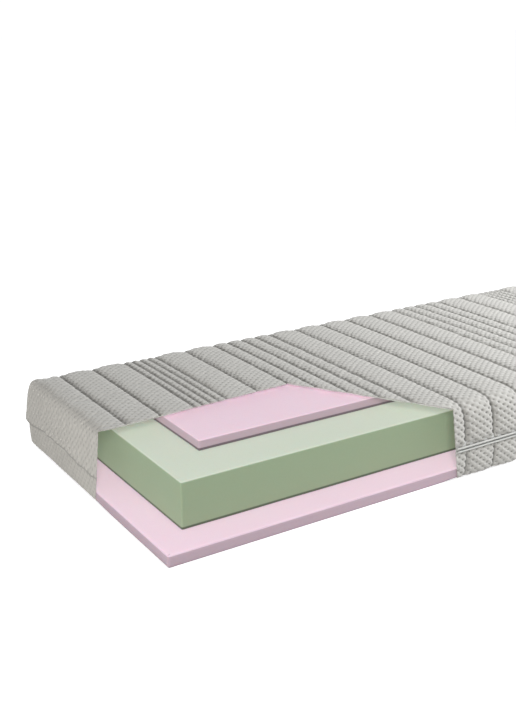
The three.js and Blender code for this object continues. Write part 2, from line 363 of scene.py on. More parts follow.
def shell_faces(ring, ring_rows, down, nx, ny, columns, rows):
    """The shell's faces, and the knit's phase at each of their corners."""
    faces, phases = [], []
    for i in range(nx - 1):
        for j in range(ny - 1):
            cell = [(i, j), (i + 1, j), (i + 1, j + 1), (i, j + 1)]
            faces.append([a * ny + b for a, b in cell])
            phases.append([(columns[a] / HALF_X, rows[b] / HALF_Y) for a, b in cell])
    period = lerp(HALF_Y, HALF_X, ring.end)
    first = nx * ny

    def vertex(column, row):
        return int(ring.base[column]) if row == 0 else first + (row - 1) * ring.count + column

    for column in range(ring.count):
        following = (column + 1) % ring.count
        lap = RING_HALVES if following == 0 else 0
        for row in range(ring_rows):
            cell = [(column, row), (column, row + 1), (following, row + 1), (following, row)]
            uv = [
                (ring.phase[c] + (lap if c == following else 0), HALVES_Y + down[r][c] / period[c])
                for c, r in cell
            ]
            if vertex(*cell[0]) == vertex(*cell[3]):
                cell, uv = cell[:3], uv[:3]
            faces.append([vertex(c, r) for c, r in cell])
            phases.append(uv)
    return faces, phases


def crease_lines(mesh, on_line, cloth_x):
    """Marks the edges along the stitched lines, so that subdivision keeps them sharp."""
    ends = np.zeros(len(mesh.edges) * 2, np.int32)
    mesh.edges.foreach_get("vertices", ends)
    a, b = ends.reshape(-1, 2).T
    along = on_line[a] & on_line[b] & (np.abs(cloth_x[a] - cloth_x[b]) < 0.1 * MM)
    crease = mesh.attributes.new("crease_edge", "FLOAT", "EDGE")
    crease.data.foreach_set("value", along.astype(np.float32) * 0.8)


def puff(mesh, amount):
    """Pushes the quilt out between its stitched lines. amount(rim, end) scales it."""
    rim, end = point_values(mesh, "rim"), point_values(mesh, "end")
    height = relief(point_values(mesh, "cloth_x")) * amount(rim, end)
    set_positions(mesh, positions(mesh) + normals(mesh) * height[:, None])


def inflate(mesh, growth, pressure, limit, frames=16):
    """Cloth simulation: the cloth grows and is blown out between its stitched lines, which
    hold. The result is kept, and no point ends more than limit from where it began."""
    scene = bpy.context.scene
    worker = place_in_scene("cloth_worker", mesh)
    rim, end, line = (point_values(mesh, key) for key in ("rim", "end", "line"))
    held = np.where((line < 0.1 * MM) | (rim > 0.99), 1.0, 0.0)
    held = np.maximum(held, np.where(end > 0, 0.25 + 0.5 * (1 - end), 0))
    pins = worker.vertex_groups.new(name="held")
    for weight in np.unique(held[held > 0]):
        pins.add(np.flatnonzero(held == weight).tolist(), float(weight), "REPLACE")
    modifier = worker.modifiers.new("Cloth", "CLOTH")
    cloth = modifier.settings
    cloth.quality, cloth.mass = 5, 0.25
    cloth.tension_stiffness = cloth.compression_stiffness = 12
    cloth.shear_stiffness, cloth.bending_stiffness = 4, 0.4
    cloth.tension_damping = cloth.compression_damping = 10
    cloth.shrink_min = -growth
    cloth.use_pressure = True
    cloth.uniform_pressure_force = pressure
    cloth.vertex_group_mass = "held"
    cloth.effector_weights.gravity = 0
    modifier.collision_settings.use_collision = False
    modifier.point_cache.frame_start = 1
    modifier.point_cache.frame_end = frames
    start = positions(mesh)
    for step in range(1, frames + 1):
        scene.frame_set(step)
    blown = worker.evaluated_get(bpy.context.evaluated_depsgraph_get())
    moved = positions(blown.data) - start
    distance = np.linalg.norm(moved, axis=1)
    moved *= (np.minimum(distance, limit) / np.maximum(distance, 1e-9))[:, None]
    worker.modifiers.remove(modifier)
    bpy.data.objects.remove(worker)
    scene.frame_set(1)
    set_positions(mesh, start + moved)


def subdivided(mesh, levels):
    """A new mesh, the subdivision surface of this one."""
    worker = place_in_scene("subdivision_worker", mesh)
    modifier = worker.modifiers.new("Subdivision", "SUBSURF")
    modifier.levels = modifier.render_levels = levels
    modifier.uv_smooth = "NONE"
    depsgraph = bpy.context.evaluated_depsgraph_get()
    fine = bpy.data.meshes.new_from_object(worker.evaluated_get(depsgraph))
    bpy.data.objects.remove(worker)
    return fine


def knit_lattice(mesh):
    """At each vertex, from -1 on a bump to 1 in a pit of the knit's lattice."""
    corners = np.zeros(len(mesh.loops), np.int32)
    mesh.loops.foreach_get("vertex_index", corners)
    u, v = read(mesh.uv_layers["cloth"].data, "uv", 2).T
    wave = np.cos(math.pi * u) * np.cos(math.pi * v)
    total = np.bincount(corners, wave, len(mesh.vertices))
    return total / np.maximum(np.bincount(corners, minlength=len(mesh.vertices)), 1)


def emboss(mesh, upper):
    """Presses the knit's dimples, the stitched grooves and the puckers beside them. The knit is stretched
    flatter on top, at the ends and most of all underneath. It also sets how strong the pits' painted shade
    is, and marks the upper half's lower edge for a painted shadow line along the hem."""
    line, run, dimple = (point_values(mesh, key) for key in ("line", "run", "dimple"))
    rim, end = point_values(mesh, "rim"), point_values(mesh, "end")
    nearest = np.argmin(np.abs(point_values(mesh, "cloth_x")[:, None] - LINES), axis=1)
    upright = np.clip(rim / 0.2, 0, 1)
    sharpness = lerp(TOP_SHARPNESS, lerp(SIDE_SHARPNESS, END_SHARPNESS, end), upright)
    pit = ((1 + knit_lattice(mesh)) / 2) ** sharpness
    pressed = lerp(TOP_RELIEF, lerp(1, END_RELIEF, end), upright)
    depth = DIMPLE_DEPTH * dimple * pit * pressed * np.clip((1 - rim) / 0.06, 0.25, 1)
    groove = STITCH_GROOVE * np.exp(-line / GROOVE_WIDTH) * np.clip((1 - rim) / 0.1, 0, 1)
    ripple = np.sin(run / (2.3 * MM) + 4.1 * nearest) + np.sin(run / (3.7 * MM) + 2.3 * nearest)
    pucker = PUCKER * ripple * np.exp(-line / (6 * MM)) * (1 - end)
    out = (pucker - depth - groove) * lerp(1 if upper else UNDERSIDE_RELIEF, 1, upright)
    set_positions(mesh, positions(mesh) + normals(mesh) * out[:, None])
    # The dimple attribute now sets how strong the pits' painted shade and their bump are.
    set_point_values(mesh, "dimple", dimple * lerp(TOP_SHADE, lerp(1, END_RELIEF, end), upright))
    # Marks the upper half's hem for a painted shadow line.
    set_point_values(mesh, "hem", np.clip((rim - 0.965) / 0.02, 0, 1) * upper)


def cut_away(mesh, planes, back=0):
    """Removes what lies inside all the planes, each moved outwards by back."""
    moved = [(point + normal * back, normal) for point, normal in planes]
    work = bmesh.new()
    work.from_mesh(mesh)

    def inside(chosen, margin):
        places = np.array([v.co for v in work.verts])
        result = np.ones(len(places), bool)
        for point, normal in chosen:
            result &= (places - np.array(point)) @ np.array(normal) < margin
        return result

    for plane in moved:
        near = inside([p for p in moved if p is not plane], 5 * MM)
        work.verts.index_update()
        faces = [f for f in work.faces if any(near[v.index] for v in f.verts)]
        edges = list({e for f in faces for e in f.edges})
        verts = list({v for f in faces for v in f.verts})
        bmesh.ops.bisect_plane(work, geom=faces + edges + verts, dist=1e-6,
                               plane_co=plane[0], plane_no=plane[1])
    work.verts.index_update()
    near = inside(moved, 1e-5)
    doomed = [f for f in work.faces if all(near[v.index] for v in f.verts)]
    bmesh.ops.delete(work, geom=doomed, context="FACES")
    work.to_mesh(mesh)
    work.free()


def thicken_edges(mesh, thickness):
    """Gives the cloth's open edges a narrow face, so that they look as thick as the cloth."""
    work = bmesh.new()
    work.from_mesh(mesh)
    work.normal_update()
    border = [e for e in work.edges if e.is_boundary]
    made = bmesh.ops.extrude_edge_only(work, edges=border)["geom"]
    fresh = {g for g in made if isinstance(g, bmesh.types.BMVert)}
    for vertex in fresh:
        ends = (edge.other_vert(vertex) for edge in vertex.link_edges)
        source = next(end for end in ends if end not in fresh)
        vertex.co = source.co - source.normal * thickness
    work.to_mesh(mesh)
    work.free()


# ---- Materials ----

class Nodes:
    """A material's node tree, with short ways to add to it."""

    def __init__(self, name, roughness, **sockets):
        self.material = bpy.data.materials.new(name)
        self.material.use_nodes = True
        self.tree = self.material.node_tree
        self.shader = self.tree.nodes["Principled BSDF"]
        self.shader.inputs["Roughness"].default_value = roughness
        for socket, value in sockets.items():
            self.shader.inputs[socket.replace("_", " ")].default_value = value

    def add(self, kind, settings=None, **inputs):
        node = self.tree.nodes.new("ShaderNode" + kind)
        for key, value in (settings or {}).items():
            setattr(node, key, value)
        for key, value in inputs.items():
            self.feed(node.inputs[key.replace("_", " ")], value)
        return node

    def feed(self, socket, value):
        if isinstance(value, bpy.types.NodeSocket):
            self.tree.links.new(value, socket)
        else:
            socket.default_value = value

    def place(self, scale=(1, 1, 1), source="Object"):
        coordinates = self.add("TexCoord").outputs[source]
        mapping = self.add("Mapping", Vector=coordinates, Scale=scale)
        return mapping.outputs["Vector"]

    def noise(self, vector, scale, detail=3.0, roughness=0.5):
        node = self.add("TexNoise", Vector=vector, Scale=scale, Detail=detail, Roughness=roughness)
        return node.outputs["Fac"]

    def math(self, operation, a, b=0.5):
        node = self.add("Math", {"operation": operation})
        self.feed(node.inputs[0], a)
        self.feed(node.inputs[1], b)
        return node.outputs[0]

    def ramp(self, fac, stops):
        node = self.add("ValToRGB", Fac=fac)
        elements = node.color_ramp.elements
        while len(elements) < len(stops):
            elements.new(0.5)
        for element, (position, value) in zip(elements, stops):
            element.position = position
            colour = value if hasattr(value, "__len__") else (value,) * 3
            element.color = (*colour, 1)
        return node.outputs["Color"]

    def mix(self, fac, a, b, blend="MIX"):
        node = self.add("Mix", {"data_type": "RGBA", "blend_type": blend})
        self.feed(node.inputs["Factor"], fac)
        for key, value in (("A", a), ("B", b)):
            socket = next(s for s in node.inputs if s.name == key and s.type == "RGBA")
            self.feed(socket, value if not isinstance(value, tuple) else (*value, 1))
        return next(s for s in node.outputs if s.type == "RGBA")

    def bump(self, height, distance, strength=1.0, normal=None):
        node = self.add("Bump", Height=height, Distance=distance, Strength=strength)
        if normal:
            self.feed(node.inputs["Normal"], normal)
        return node.outputs["Normal"]

    def finish(self, colour, normal=None, roughness=None):
        self.feed(self.shader.inputs["Base Color"], colour)
        if normal:
            self.feed(self.shader.inputs["Normal"], normal)
        if roughness:
            self.feed(self.shader.inputs["Roughness"], roughness)
        return self.material


# The grey of the painted shade in the knit's pits and along its stitched lines.
PAINTED_SHADE_GREY = (0.17, 0.165, 0.155)
# The grey of the painted shadow line along the hem.
HEM_SHADOW_GREY = (0.15, 0.145, 0.135)


def knit_material():
    """Knitted jersey: fine wales and courses and a melange of yarns. It has painted shade in the pits and
    along the stitched lines, and a painted shadow line at the hem."""
    n = Nodes("knit_cloth", 0.9, Sheen_Weight=0.25, Sheen_Roughness=0.5)
    wales = n.add("TexWave", {"bands_direction": "X"}, Vector=n.place(source="UV"),
                  Scale=1.3, Distortion=0.6, Detail=1.0).outputs["Fac"]
    courses = n.add("TexWave", {"bands_direction": "Y"}, Vector=n.place(source="UV"),
                    Scale=1.3, Distortion=0.6, Detail=1.0).outputs["Fac"]
    loops = n.math("MULTIPLY", wales, courses)
    yarn = n.noise(n.place(), 900.0, 2.0)
    cloudy = n.noise(n.place(), 9.0, 4.0)
    base = n.mix(cloudy, (0.465, 0.451, 0.423), (0.527, 0.513, 0.485))
    melange = n.mix(n.ramp(yarn, [(0.35, 0.0), (0.65, 1.0)]), (0.90, 0.90, 0.90), (1.04, 1.04, 1.03))
    colour = n.mix(1.0, base, melange, "MULTIPLY")
    across = n.add("SeparateXYZ", Vector=n.add("UVMap", {"uv_map": "cloth"}).outputs["UV"]).outputs
    waves = [n.math("COSINE", n.math("MULTIPLY", across[axis], math.pi)) for axis in "XY"]
    lattice = n.math("ADD", n.math("MULTIPLY", n.math("MULTIPLY", *waves), 0.5), 0.5)
    # Painted shade: the pits of the lattice are coloured towards a dark grey.
    dimple = n.add("Attribute", {"attribute_name": "dimple"}).outputs["Fac"]
    pit = n.math("MULTIPLY", n.math("POWER", lattice, 6.0), dimple)
    colour = n.mix(n.math("MULTIPLY", pit, 0.6), colour, PAINTED_SHADE_GREY)
    # Painted shade along the stitched lines, darkest in the groove.
    line = n.add("Attribute", {"attribute_name": "line"}).outputs["Fac"]
    seam = n.ramp(n.math("MULTIPLY", line, 100.0), [(0.0, 1.0), (0.2, 0.3), (0.55, 0.0)])
    colour = n.mix(n.math("MULTIPLY", seam, 0.45), colour, PAINTED_SHADE_GREY)
    # Painted shadow line along the upper half's hem.
    hem = n.add("Attribute", {"attribute_name": "hem"}).outputs["Fac"]
    colour = n.mix(n.math("MULTIPLY", hem, 0.6), colour, HEM_SHADOW_GREY)
    normal = n.bump(n.math("SUBTRACT", 1.0, pit), 1.6 * MM, 1.0)
    normal = n.bump(loops, 0.25 * MM, 0.6, normal)
    normal = n.bump(yarn, 0.12 * MM, 0.5, normal)
    return n.finish(colour, normal, n.ramp(cloudy, [(0.3, 0.82), (0.7, 0.95)]))


def foam_material(name, colour, deep, side):
    """Cut foam: open cells and a slightly mottled colour. Upright faces are coloured the darker side colour
    as painted shade, and the lowest few millimetres of a slab with the "under" attribute get a painted
    shadow line where it sits on the slab below."""
    n = Nodes(name, 0.92, Subsurface_Weight=0.12, Subsurface_Scale=0.01, Sheen_Weight=0.1)
    cells = n.add("TexVoronoi", {"feature": "SMOOTH_F1"}, Vector=n.place(), Scale=520.0).outputs["Distance"]
    large = n.noise(n.place(), 160.0, 3.0)
    cloudy = n.noise(n.place(), 6.0, 3.0)
    pores = n.ramp(n.noise(n.place(), 420.0, 2.0), [(0.60, 0.0), (0.72, 1.0)])
    base = n.mix(cloudy, deep, colour)
    colour_out = n.mix(n.math("MULTIPLY", pores, 0.25), base, tuple(0.7 * c for c in deep))
    # Painted shade: upright faces get the darker side colour, and tops keep their own colour.
    facing = n.add("SeparateXYZ", Vector=n.add("TexCoord").outputs["Normal"]).outputs["Z"]
    upright = n.ramp(facing, [(0.35, 1.0), (0.8, 0.0)])
    colour_out = n.mix(upright, colour_out, side)
    # Painted shadow along the slab's lowest few millimetres, where it sits on the slab below.
    under = n.add("Attribute", {"attribute_name": "under"}).outputs["Fac"]
    shadow_line = n.ramp(n.math("MULTIPLY", under, 100.0), [(0.25, 0.0), (0.45, 1.0)])
    colour_out = n.mix(n.math("MULTIPLY", shadow_line, 0.9), colour_out, tuple(0.25 * c for c in side))
    normal = n.bump(cells, 0.5 * MM, 0.35)
    normal = n.bump(large, 0.35 * MM, 0.4, normal)
    return n.finish(colour_out, normal, n.ramp(large, [(0.3, 0.86), (0.7, 0.97)]))


def felt_material(name, colour):
    """Fluffy fibres, for the wadding."""
    n = Nodes(name, 1.0, Sheen_Weight=0.3)
    fibres = n.noise(n.place((1, 3, 1)), 240.0, 6.0, 0.7)
    tufts = n.noise(n.place(), 40.0, 3.0)
    tint = n.mix(fibres, tuple(0.82 * c for c in colour), colour)
    normal = n.bump(fibres, 1.2 * MM, 0.7)
    return n.finish(tint, n.bump(tufts, 2 * MM, 0.4, normal), n.ramp(tufts, [(0.3, 0.9), (0.7, 1.0)]))


def woven_material(name, colour, threads, depth=0.2 * MM, roughness=0.85):
    """A plain weave with that many threads to the metre."""
    n = Nodes(name, roughness, Sheen_Weight=0.15)
    across = n.add("TexWave", {"bands_direction": "DIAGONAL"}, Vector=n.place(),
                   Scale=threads / 20, Distortion=0.3).outputs["Fac"]
    along = n.add("TexWave", {"bands_direction": "X"}, Vector=n.place(),
                  Scale=threads / 20, Distortion=0.3).outputs["Fac"]
    weave = n.math("MAXIMUM", across, along)
    worn = n.noise(n.place(), 60.0, 3.0)
    tint = n.mix(n.math("MULTIPLY", weave, worn), tuple(0.72 * c for c in colour), colour)
    shine = n.ramp(worn, [(0.3, roughness - 0.08), (0.7, roughness + 0.06)])
    return n.finish(tint, n.bump(weave, depth, 0.7), shine)


def hard_material(name, colour, roughness, metallic, scratches):
    """Metal or moulded nylon, with fine scratches and a mottled gloss."""
    n = Nodes(name, roughness, Metallic=metallic)
    lines = n.noise(n.place((1, 12, 12)), scratches, 4.0)
    patina = n.noise(n.place(), 220.0, 3.0)
    tint = n.mix(patina, tuple(0.75 * c for c in colour), colour)
    shine = n.ramp(lines, [(0.3, roughness * 0.75), (0.7, roughness * 1.3)])
    return n.finish(tint, n.bump(lines, 0.05 * MM, 0.4), shine)


KNIT = knit_material()
# The third colour of each foam is the painted shade of its upright faces.
PINK_FOAM = foam_material("pink_foam", (0.785, 0.595, 0.69), (0.745, 0.56, 0.655), (0.43, 0.325, 0.375))
GREEN_FOAM = foam_material("green_foam", (0.565, 0.62, 0.52), (0.53, 0.59, 0.485), (0.25, 0.322, 0.205))
WADDING = felt_material("wadding_fibres", (0.82, 0.82, 0.80))
LINING = woven_material("lining_cloth", (0.74, 0.74, 0.72), 2400)
WELT_CLOTH = woven_material("welt_cloth", (0.66, 0.66, 0.63), 2600)
TAPE_CLOTH = woven_material("zip_tape_cloth", (0.78, 0.78, 0.76), 3000)
THREAD = woven_material("stitching_thread", (0.52, 0.52, 0.50), 9000, 0.06 * MM)
LABEL_CLOTH = woven_material("label_cloth", (0.84, 0.84, 0.82), 5200, 0.06 * MM, 0.7)
GLUE = hard_material("glue_film", (0.76, 0.71, 0.52), 0.5, 0.0, 300.0)
COIL_NYLON = hard_material("coil_nylon", (0.72, 0.72, 0.70), 0.42, 0.0, 700.0)
ZIP_METAL = hard_material("zip_metal", (0.55, 0.55, 0.56), 0.34, 1.0, 500.0)


# ---- Cover ----

def hang_flap(place, share, ring):
    """At the ends the upper half hangs over the zip, with a wavy lower edge."""
    across = np.abs(place[:, 1]) / MM
    hem = np.interp(across, *zip(*HEM)) - UPPER_END[-1][1]
    pleat = sum(np.exp(-((across - at) / 9) ** 2) for at in PLEATS)
    lift = np.clip((share - 0.7) / 0.3, 0, 1) * ring.end ** 4
    place[:, 2] += lift * hem * MM
    place[:, :2] += ring.outward * (lift * (2.6 + 1.6 * pleat) * MM)[:, None]
    return place


def shift_lines(place, share, ring):
    """The lower half's stitched lines don't quite meet the upper half's."""
    middle = np.clip((FLAT_X - np.abs(place[:, 0])) / (120 * MM), 0, 1) * (1 - ring.end)
    place[:, 0] += middle * lerp(0, 6, share) * MM
    return place


def knit_shell(name, upper):
    """One half of the cover's outer ply, coarse, puffed and simulated."""
    if upper:
        mesh = shell(name, UPPER_SIDE, UPPER_END, UPPER_ROWS, TOP_HEIGHT, True, hang_flap)
        puff(mesh, lambda rim, end: np.clip((1 - rim) / 0.15, 0, 1) * (1 - end * np.clip(rim / 0.17, 0, 1)))
        inflate(mesh, 0.03, 3.0, 2.4 * MM)
    else:
        mesh = shell(name, LOWER_SIDE, LOWER_END, LOWER_ROWS, LOWER_SIDE[0][1] * MM, False, shift_lines)
        puff(mesh, lambda rim, end: (
            lerp(0.5, 0.75, rim) * np.clip((1 - rim) / 0.15, 0, 1) * (1 - 0.8 * end)))
        inflate(mesh, 0.025, 1.5, 1.2 * MM)
    return mesh


def knit_ply(half, coarse, planes):
    """The finished knit of one half, cut open at the corner, and its stitched lines."""
    mesh = subdivided(coarse, 2)
    emboss(mesh, half == "top")
    mesh.name = f"quilted_{half}_knit"
    stitches = stitch_lines(mesh)
    cut_away(mesh, planes)
    thicken_edges(mesh, KNIT_EDGE)
    shade_smooth(mesh)
    return mesh, stitches


def stitch_lines(mesh):
    """The stitched lines of one half, as places and normals along each."""
    line, run, end = (point_values(mesh, key) for key in ("line", "run", "end"))
    cloth_x = point_values(mesh, "cloth_x")
    places, facing = positions(mesh), normals(mesh)
    on_line = (line < 0.2 * MM) & (end < 0.01)
    result = []
    for x in LINES:
        chosen = np.flatnonzero(on_line & (np.abs(cloth_x - x) < 0.5 * MM))
        chosen = chosen[np.argsort(run[chosen])]
        result.append((places[chosen], facing[chosen]))
    return result


def is_cut(place, planes):
    return all((Vector(place) - point).dot(normal) < 1 * MM for point, normal in planes)


def stitching(name, lines, planes):
    """Short stitches of thread lying in the stitched lines."""
    pitch, length, radius = 4.4 * MM, 3.3 * MM, 0.38 * MM
    verts, faces = [], []
    for places, facing in lines:
        along = np.append(0, np.cumsum(np.linalg.norm(np.diff(places, axis=0), axis=1)))
        for start in np.arange(3 * MM, along[-1] - length, pitch):
            rings = []
            for share, lift, size in ((0, -0.3, 0.4), (0.3, 0.35, 1), (0.7, 0.35, 1), (1, -0.3, 0.4)):
                at = start + share * length
                centre = np.array([np.interp(at, along, places[:, a]) for a in range(3)])
                up = np.array([np.interp(at, along, facing[:, a]) for a in range(3)])
                up /= np.linalg.norm(up)
                rings.append((centre + up * lift * MM, up, size))
            if is_cut(rings[1][0], planes):
                continue
            across = np.array([1.0, 0, 0])
            first = len(verts)
            for centre, up, size in rings:
                for a, b in ((1, 0), (0, 1), (-1, 0), (0, -1)):
                    verts.append(centre + (across * a + up * b) * radius * size)
            for ring in range(3):
                for k in range(4):
                    a, b = first + ring * 4 + k, first + ring * 4 + (k + 1) % 4
                    faces.append((a, b, b + 4, a + 4))
            faces.append((first + 3, first + 2, first + 1, first))
            faces.append((first + 12, first + 13, first + 14, first + 15))
    return smooth_mesh(name, [tuple(v) for v in verts], faces)


def add_ply(half, ply, coarse, planes, skin, inner, back, material, body):
    """One inner ply of a cover half, closed between two skins under the knit. A skin is how deep
    it lies at the sides and at the flat part, and back is how far the cut goes past the knit's."""
    mesh = coarse.copy()
    mesh.name = f"{ply}_{half}"
    flatness = 1 - np.clip(point_values(mesh, "rim") / 0.45, 0, 1)
    facing = normals(mesh)
    start = positions(mesh)
    depths = [lerp(side, flat, flatness)[:, None] * MM for side, flat in (skin, inner)]
    thickness = mesh.attributes.new("inward", "FLOAT_VECTOR", "POINT")
    inward = facing * (depths[0] - depths[1])
    thickness.data.foreach_set("vector", inward.astype(np.float32).ravel())
    set_positions(mesh, start - facing * depths[0])
    cut_away(mesh, planes, back * MM)
    close_ply(mesh)
    piece = add_object(mesh.name, mesh, material, body)
    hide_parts(f"cover_{half}_{ply}")
    return piece


def close_ply(mesh):
    """Adds a ply's inner surface, and the narrow faces between the two at its open edges."""
    count = len(mesh.vertices)
    outer = positions(mesh)
    inner = outer + read(mesh.attributes["inward"].data, "vector", 3)
    faces = [tuple(p.vertices) for p in mesh.polygons]
    edges = {(a, b) for face in faces for a, b in zip(face, face[1:] + face[:1])}
    rims = [(b, a, a + count, b + count) for a, b in edges if (b, a) not in edges]
    flipped = [tuple(v + count for v in face[::-1]) for face in faces]
    mesh.clear_geometry()
    mesh.from_pydata(np.concatenate([outer, inner]).tolist(), [], faces + flipped + sorted(rims))
    shade_smooth(mesh)


def add_cover_half(half, body, planes):
    """The knit, wadding and lining of one half, and the thread of its quilting."""
    upper = half == "top"
    coarse = knit_shell(f"coarse_{half}", upper)
    mesh, lines = knit_ply(half, coarse, planes)
    knit = add_object(mesh.name, mesh, KNIT, body)
    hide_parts(f"cover_{half}_knit")
    stitches = stitching(f"thread_{half}", lines, planes)
    thread = add_object(f"quilt_thread_{half}", stitches, THREAD, body)
    if upper:
        plies = (((5.8, 5.8), (7.4, 17), 7), ((7.8, 17.4), (8.4, 18), 10))
    else:
        plies = (((5.4, 3.2), (6.4, 3.7), 7), ((6.8, 4), (7.3, 4.4), 10))
    wadding = add_ply(half, "wadding", coarse, planes, *plies[0], WADDING, body)
    lining = add_ply(half, "lining", coarse, planes, *plies[1], LINING, body)
    return knit, wadding, lining, thread


# ---- Zip and welts ----

def on_plane(plane, axis, place):
    """The coordinate along axis that puts the place on the plane."""
    point, normal = plane
    offset = (Vector(place) - point).dot(normal)
    return place[axis] - offset / normal[axis]


def zip_path(inset_side, inset_end, step):
    """The way round the zip from the cut on the near side to the cut at the head end, as
    places and outward directions, and how far along it each is. The corners are rounded."""
    start_x = on_plane(SIDE_CUT, 0, (0, -WIDTH / 2 + inset_side, ZIP_Z))
    finish_y = on_plane(END_CUT, 1, (-LENGTH / 2 + inset_end, 0, ZIP_Z))
    corners = [(1, -1), (1, 1), (-1, 1)]
    places = [(start_x, -WIDTH / 2 + inset_side, 0, -1)]
    for sx, sy in corners:
        centre = (sx * FLAT_X, sy * FLAT_Y)
        turn = [math.atan2(sy, 0), math.atan2(0, sx)]
        if sx * sy > 0:
            turn.reverse()
        first, last = turn
        if last < first:
            last += 2 * math.pi
        for k in range(9):
            angle = lerp(first, last, k / 8)
            x, y = math.cos(angle), math.sin(angle)
            reach = (RIM - lerp(inset_side, inset_end, x * x)) * squareness(np.array((x, y)))
            places.append((centre[0] + x * reach, centre[1] + y * reach, x, y))
    places.append((-LENGTH / 2 + inset_end, finish_y, -1, 0))
    places = np.array(places)
    along = np.append(0, np.cumsum(np.linalg.norm(np.diff(places[:, :2], axis=0), axis=1)))
    wanted = np.linspace(0, along[-1], max(2, round(along[-1] / step)) + 1)
    return np.stack([np.interp(wanted, along, places[:, a]) for a in range(4)], axis=1), wanted


def sweep(name, path, section, wobble=0.0, teeth=None):
    """A solid along the zip path. section is (outward, up) in mm from the path at ZIP_Z, and
    teeth(k) scales the section's depth at station k."""
    count = len(section)
    verts, faces = [], []
    for k, (x, y, dx, dy) in enumerate(path):
        size = teeth(k) if teeth else 1.0
        sway = wobble * noise.noise(Vector((x * 14, y * 14, 3.1))) * MM
        for outward, up in section:
            reach = outward * size * MM
            verts.append((x + dx * reach, y + dy * reach, ZIP_Z + up * MM + sway))
    for k in range(len(path) - 1):
        for a in range(count):
            b = (a + 1) % count
            faces.append((k * count + a, (k + 1) * count + a, (k + 1) * count + b, k * count + b))
    last = (len(path) - 1) * count
    faces.append(tuple(range(count)))
    faces.append(tuple(last + k for k in reversed(range(count))))
    return smooth_mesh(name, verts, faces)


def oval(across, high, middle_up, corners=12):
    """An oval section for sweep, in mm."""
    turns = [2 * math.pi * k / corners for k in range(corners)]
    return [(across / 2 * math.cos(turn), middle_up + high / 2 * math.sin(turn)) for turn in turns]


def add_zip_half(half, side, body):
    """A welt, the tape under it and the row of teeth on the tape's edge, and the tape's length."""
    path, _ = zip_path(*WELT_INSETS, ZIP_STEP)
    cord = sweep("welt", path, oval(4.6, 4.7, side * 4.4), 0.4)
    welt = add_object(f"welt_cord_{half}", cord, WELT_CLOTH, body)
    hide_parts(f"welt_{half}")
    path, along = zip_path(TAPE_INSET, TAPE_INSET, ZIP_STEP)
    strip = [(0.5, side * 1), (0.62, side * 6), (0.5, side * 12), (0.2, side * 18),
             (-0.2, side * 18), (0, side * 12), (0.1, side * 6), (0, side * 1)]
    ribbon = sweep("ribbon", path, strip[::side])
    tape = add_object(f"zip_ribbon_{half}", ribbon, TAPE_CLOTH, body)
    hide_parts(f"zip_tape_{half}")
    path, _ = zip_path(TEETH_INSET, TEETH_INSET, TOOTH_STEP)
    tooth = [(0, side * 0.9), (1.5, side * 0.6), (1.8, side * 1.4), (1.6, side * 3.2), (0, side * 3.9)]
    teeth = sweep("teeth", path, tooth[::side], teeth=lambda k: 1.0 if k % 2 else 0.45)
    coil = add_object(f"zip_teeth_{half}", teeth, COIL_NYLON, body)
    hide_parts(f"zip_coil_{half}")
    return welt, tape, along[-1]


def add_label():
    """The blank care label, hanging from the lower half's seam in a soft curve."""
    low, high = (Vector(c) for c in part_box("care_label"))
    columns, rows = 12, 16
    verts, faces = [], []
    for row in range(rows + 1):
        down = row / rows
        for column in range(columns + 1):
            across = column / columns
            curl = 2.2 * down ** 2 + 0.8 * math.sin(math.pi * across) * down
            verts.append((lerp(low.x, high.x, across) + 0.8 * MM * down * math.sin(3 * down),
                          high.y + curl * MM, lerp(high.z, low.z, down)))
    for row in range(rows):
        for column in range(columns):
            a = row * (columns + 1) + column
            faces.append((a, a + columns + 1, a + columns + 2, a + 1))
    mesh = smooth_mesh("label", verts, [face[::-1] for face in faces])
    label = add_object("sewn_label", mesh, LABEL_CLOTH, "bottom_cover")
    thick = label.modifiers.new("Thickness", "SOLIDIFY")
    thick.thickness = 0.35 * MM
    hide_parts("care_label")
    return label, (high.x - low.x, high.z - low.z)


# ---- Foam ----

def squeeze(place):
    """Where a point of the foam block goes under the snug cover. Its underside sags to the floor
    where the cover is cut away from under it."""
    x, y, z = place
    path = np.array(UPPER_SIDE[::-1])
    end_path = np.array(UPPER_END[::-1])
    result = []
    for value, half, curve in ((x, LENGTH / 2, end_path), (y, WIDTH / 2, path)):
        inset = half - abs(value)
        drawn = np.interp(z / MM, curve[:, 1], curve[:, 0]) * MM + PLIES
        wall = max(FOAM_INSET, drawn) if z > 80 * MM else FOAM_INSET
        share = np.clip(1 - (inset - FOAM_INSET) / SQUEEZED, 0, 1)
        result.append(math.copysign(half - inset - (wall - FOAM_INSET) * share, value))
    fall = float(edge_drop(np.array(x), np.array(y))) * np.clip((z - 100 * MM) / (80 * MM), 0, 1)
    bare = min(UNDER_CUT[axis] + CORNER[axis] - place[axis] for axis in (0, 1)) - 12 * MM
    sag = (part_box("foam_base_slab")[0][2] - FLOOR_GAP) * np.clip(bare / (40 * MM), 0, 1)
    return Vector((result[0], result[1], z - fall - sag * np.clip((15 * MM - z) / (10 * MM), 0, 1)))


